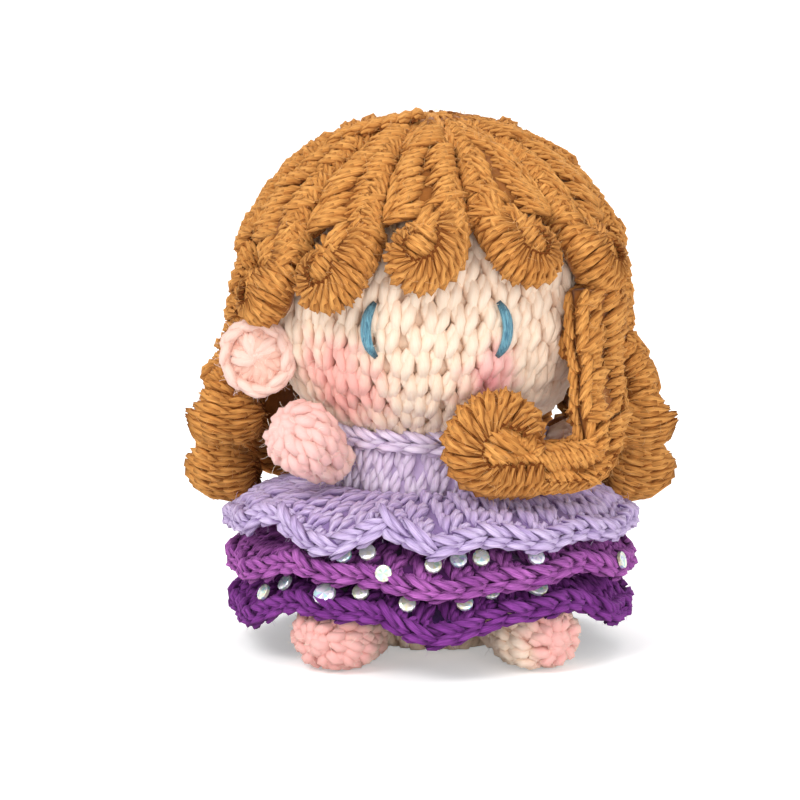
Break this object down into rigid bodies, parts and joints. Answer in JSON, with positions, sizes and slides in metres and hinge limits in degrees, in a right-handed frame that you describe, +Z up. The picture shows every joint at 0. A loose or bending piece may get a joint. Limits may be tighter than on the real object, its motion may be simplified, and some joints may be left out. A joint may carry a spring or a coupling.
{
  "type": "amigurumi doll",
  "caption": "Small seated crocheted doll: stuffed head and body, sewn arms and legs, a wig of curl-ended locks and a ruffled dress with glued rhinestones.",
  "frame": {"origin": "centre of the doll's bounding box at the surface it stands on", "axes": "+Z up through the crown, -Y the way the face looks, +X towards the doll's left hand, which is the viewer's right"},
  "size_m": [0.0771, 0.0732, 0.0878],
  "materials": {
    "cream_yarn": "crocheted, fuzzy",
    "pink_yarn": "crocheted, tinted with blusher",
    "white_filling": "loose polyester fibre",
    "ginger_yarn": "crocheted, fuzzy",
    "teal_floss": "satin stitch",
    "lilac_yarn": "crocheted, fuzzy",
    "magenta_yarn": "crocheted, fuzzy",
    "purple_yarn": "crocheted, fuzzy",
    "foiled_crystal": "faceted, foil backed"
  },
  "bodies": {
    "body": {"body_cover": "cream_yarn", "body_filling": "white_filling", "bodice": "lilac_yarn", "skirt_lining": "purple_yarn", "lilac_tier": "lilac_yarn", "magenta_tier": "magenta_yarn", "purple_tier": "purple_yarn", "rhinestone_01": "foiled_crystal", "rhinestone_02": "foiled_crystal", "rhinestone_03": "foiled_crystal", "rhinestone_04": "foiled_crystal", "rhinestone_05": "foiled_crystal", "rhinestone_06": "foiled_crystal", "rhinestone_07": "foiled_crystal", "rhinestone_08": "foiled_crystal", "rhinestone_09": "foiled_crystal", "rhinestone_10": "foiled_crystal", "rhinestone_11": "foiled_crystal", "rhinestone_12": "foiled_crystal", "rhinestone_13": "foiled_crystal", "rhinestone_14": "foiled_crystal", "rhinestone_15": "foiled_crystal", "rhinestone_16": "foiled_crystal", "rhinestone_17": "foiled_crystal"},
    "head": {"head_cover": "cream_yarn", "head_filling": "white_filling", "right_ear": "pink_yarn", "left_ear": "pink_yarn", "right_eye": "teal_floss", "left_eye": "teal_floss", "wig_crown": "ginger_yarn", "fringe_lock_1": "ginger_yarn", "fringe_lock_2": "ginger_yarn", "fringe_lock_3": "ginger_yarn", "fringe_lock_4": "ginger_yarn", "fringe_lock_5": "ginger_yarn", "right_lock_1_strip": "ginger_yarn", "right_lock_2_strip": "ginger_yarn", "left_lock_1_strip": "ginger_yarn", "left_lock_2_strip": "ginger_yarn", "back_lock_1": "ginger_yarn", "back_lock_2": "ginger_yarn", "back_lock_3": "ginger_yarn", "back_lock_4": "ginger_yarn", "back_lock_5": "ginger_yarn", "hook_lock_root": "ginger_yarn"},
    "right_arm": {"right_arm": "cream_yarn", "right_arm_filling": "white_filling"},
    "left_arm": {"left_arm": "cream_yarn", "left_arm_filling": "white_filling"},
    "right_leg": {"right_leg": "cream_yarn", "right_leg_filling": "white_filling"},
    "left_leg": {"left_leg": "cream_yarn", "left_leg_filling": "white_filling"},
    "right_ringlet_1": {"right_lock_1_ringlet": "ginger_yarn"},
    "right_ringlet_2": {"right_lock_2_ringlet": "ginger_yarn"},
    "left_ringlet_1": {"left_lock_1_ringlet": "ginger_yarn"},
    "left_ringlet_2": {"left_lock_2_ringlet": "ginger_yarn"},
    "hook_ringlet": {"hook_lock_ringlet": "ginger_yarn"}
  },
  "joints": [
    {"name": "head_turn", "type": "hinge", "parent": "body", "child": "head", "pos_m": [0, -0.0007, 0.0322], "axis": [0, 0, 1], "range_deg": [-10, 10], "stiffness_Nm_per_rad": 0.003},
    {"name": "right_arm_swing", "type": "hinge", "parent": "body", "child": "right_arm", "pos_m": [-0.01609, -0.0157, 0.0326], "axis": [0, 0, 1], "range_deg": [-10, 20], "stiffness_Nm_per_rad": 0.0005},
    {"name": "left_arm_swing", "type": "hinge", "parent": "body", "child": "left_arm", "pos_m": [0.02179, -0.00376, 0.0326], "axis": [0, 0, 1], "range_deg": [-8, 10], "stiffness_Nm_per_rad": 0.0005},
    {"name": "right_leg_swing", "type": "hinge", "parent": "body", "child": "right_leg", "pos_m": [-0.01174, -0.01811, 0.0056], "axis": [0, 0, 1], "range_deg": [-9, 9], "stiffness_Nm_per_rad": 0.001},
    {"name": "left_leg_swing", "type": "hinge", "parent": "body", "child": "left_leg", "pos_m": [0.01293, -0.01725, 0.0056], "axis": [0, 0, 1], "range_deg": [-9, 9], "stiffness_Nm_per_rad": 0.001},
    {"name": "right_ringlet_1_lift", "type": "hinge", "parent": "head", "child": "right_ringlet_1", "pos_m": [-0.03027, -0.00202, 0.0542], "axis": [-0.0436, 0.999, 0], "range_deg": [0, 30]},
    {"name": "right_ringlet_2_lift", "type": "hinge", "parent": "head", "child": "right_ringlet_2", "pos_m": [-0.02838, 0.00991, 0.0542], "axis": [0.3502, 0.9367, 0], "range_deg": [0, 30]},
    {"name": "left_ringlet_2_lift", "type": "hinge", "parent": "head", "child": "left_ringlet_2", "pos_m": [0.02819, 0.0104, 0.0542], "axis": [0.3665, -0.9304, 0], "range_deg": [0, 30]},
    {"name": "left_ringlet_1_lift", "type": "hinge", "parent": "head", "child": "left_ringlet_1", "pos_m": [0.03029, -0.00149, 0.0542], "axis": [-0.0262, -0.9997, 0], "range_deg": [0, 30]},
    {"name": "hook_ringlet_lift", "type": "hinge", "parent": "head", "child": "hook_ringlet", "pos_m": [0.02624, -0.01585, 0.0504], "axis": [-0.5, -0.866, 0], "range_deg": [0, 30]}
  ]
}
